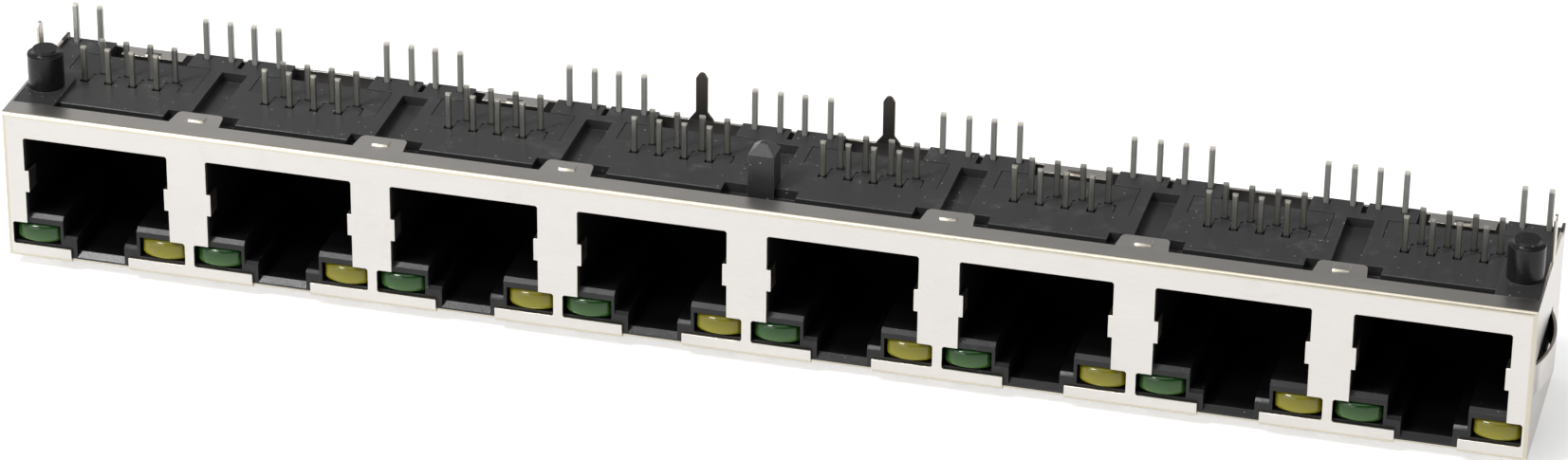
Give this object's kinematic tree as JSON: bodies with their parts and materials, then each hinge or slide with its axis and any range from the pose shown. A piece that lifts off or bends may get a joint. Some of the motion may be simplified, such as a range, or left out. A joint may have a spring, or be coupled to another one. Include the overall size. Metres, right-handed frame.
{
  "type": "rj45 board jack",
  "caption": "Row of shielded modular jacks with indicator lamps, moulded as one part that solders to a circuit board.",
  "frame": {"origin": "middle of the footprint, level with the lowest points of the latch-side spring fingers", "axes": "+X along the row of sockets, from the left one to the right one as seen from the front; +Y from the front face into the sockets; +Z towards the circuit board, along the pegs and tails"},
  "size_m": [0.124, 0.015, 0.0176],
  "materials": {
    "moulding": "black glass-filled moulding, fine satin grain",
    "insert": "dark grey matt moulding",
    "shield": "thin plated sheet, satin",
    "contact": "copper alloy with tinned tails",
    "lamp_lead": "tinned wire",
    "green_lamp": "translucent green epoxy",
    "yellow_lamp": "translucent yellow epoxy"
  },
  "bodies": {
    "root": {"housing": "moulding", "front_shield": "shield", "rear_shield": "shield", "contact_insert_1": "insert", "contacts_1": "contact", "green_led_1": "green_lamp", "yellow_led_1": "yellow_lamp", "green_led_leads_1": "lamp_lead", "yellow_led_leads_1": "lamp_lead", "contact_insert_2": "insert", "contacts_2": "contact", "green_led_2": "green_lamp", "yellow_led_2": "yellow_lamp", "green_led_leads_2": "lamp_lead", "yellow_led_leads_2": "lamp_lead", "contact_insert_3": "insert", "contacts_3": "contact", "green_led_3": "green_lamp", "yellow_led_3": "yellow_lamp", "green_led_leads_3": "lamp_lead", "yellow_led_leads_3": "lamp_lead", "contact_insert_4": "insert", "contacts_4": "contact", "green_led_4": "green_lamp", "yellow_led_4": "yellow_lamp", "green_led_leads_4": "lamp_lead", "yellow_led_leads_4": "lamp_lead", "contact_insert_5": "insert", "contacts_5": "contact", "green_led_5": "green_lamp", "yellow_led_5": "yellow_lamp", "green_led_leads_5": "lamp_lead", "yellow_led_leads_5": "lamp_lead", "contact_insert_6": "insert", "contacts_6": "contact", "green_led_6": "green_lamp", "yellow_led_6": "yellow_lamp", "green_led_leads_6": "lamp_lead", "yellow_led_leads_6": "lamp_lead", "contact_insert_7": "insert", "contacts_7": "contact", "green_led_7": "green_lamp", "yellow_led_7": "yellow_lamp", "green_led_leads_7": "lamp_lead", "yellow_led_leads_7": "lamp_lead", "contact_insert_8": "insert", "contacts_8": "contact", "green_led_8": "green_lamp", "yellow_led_8": "yellow_lamp", "green_led_leads_8": "lamp_lead", "yellow_led_leads_8": "lamp_lead"}
  },
  "joints": []
}
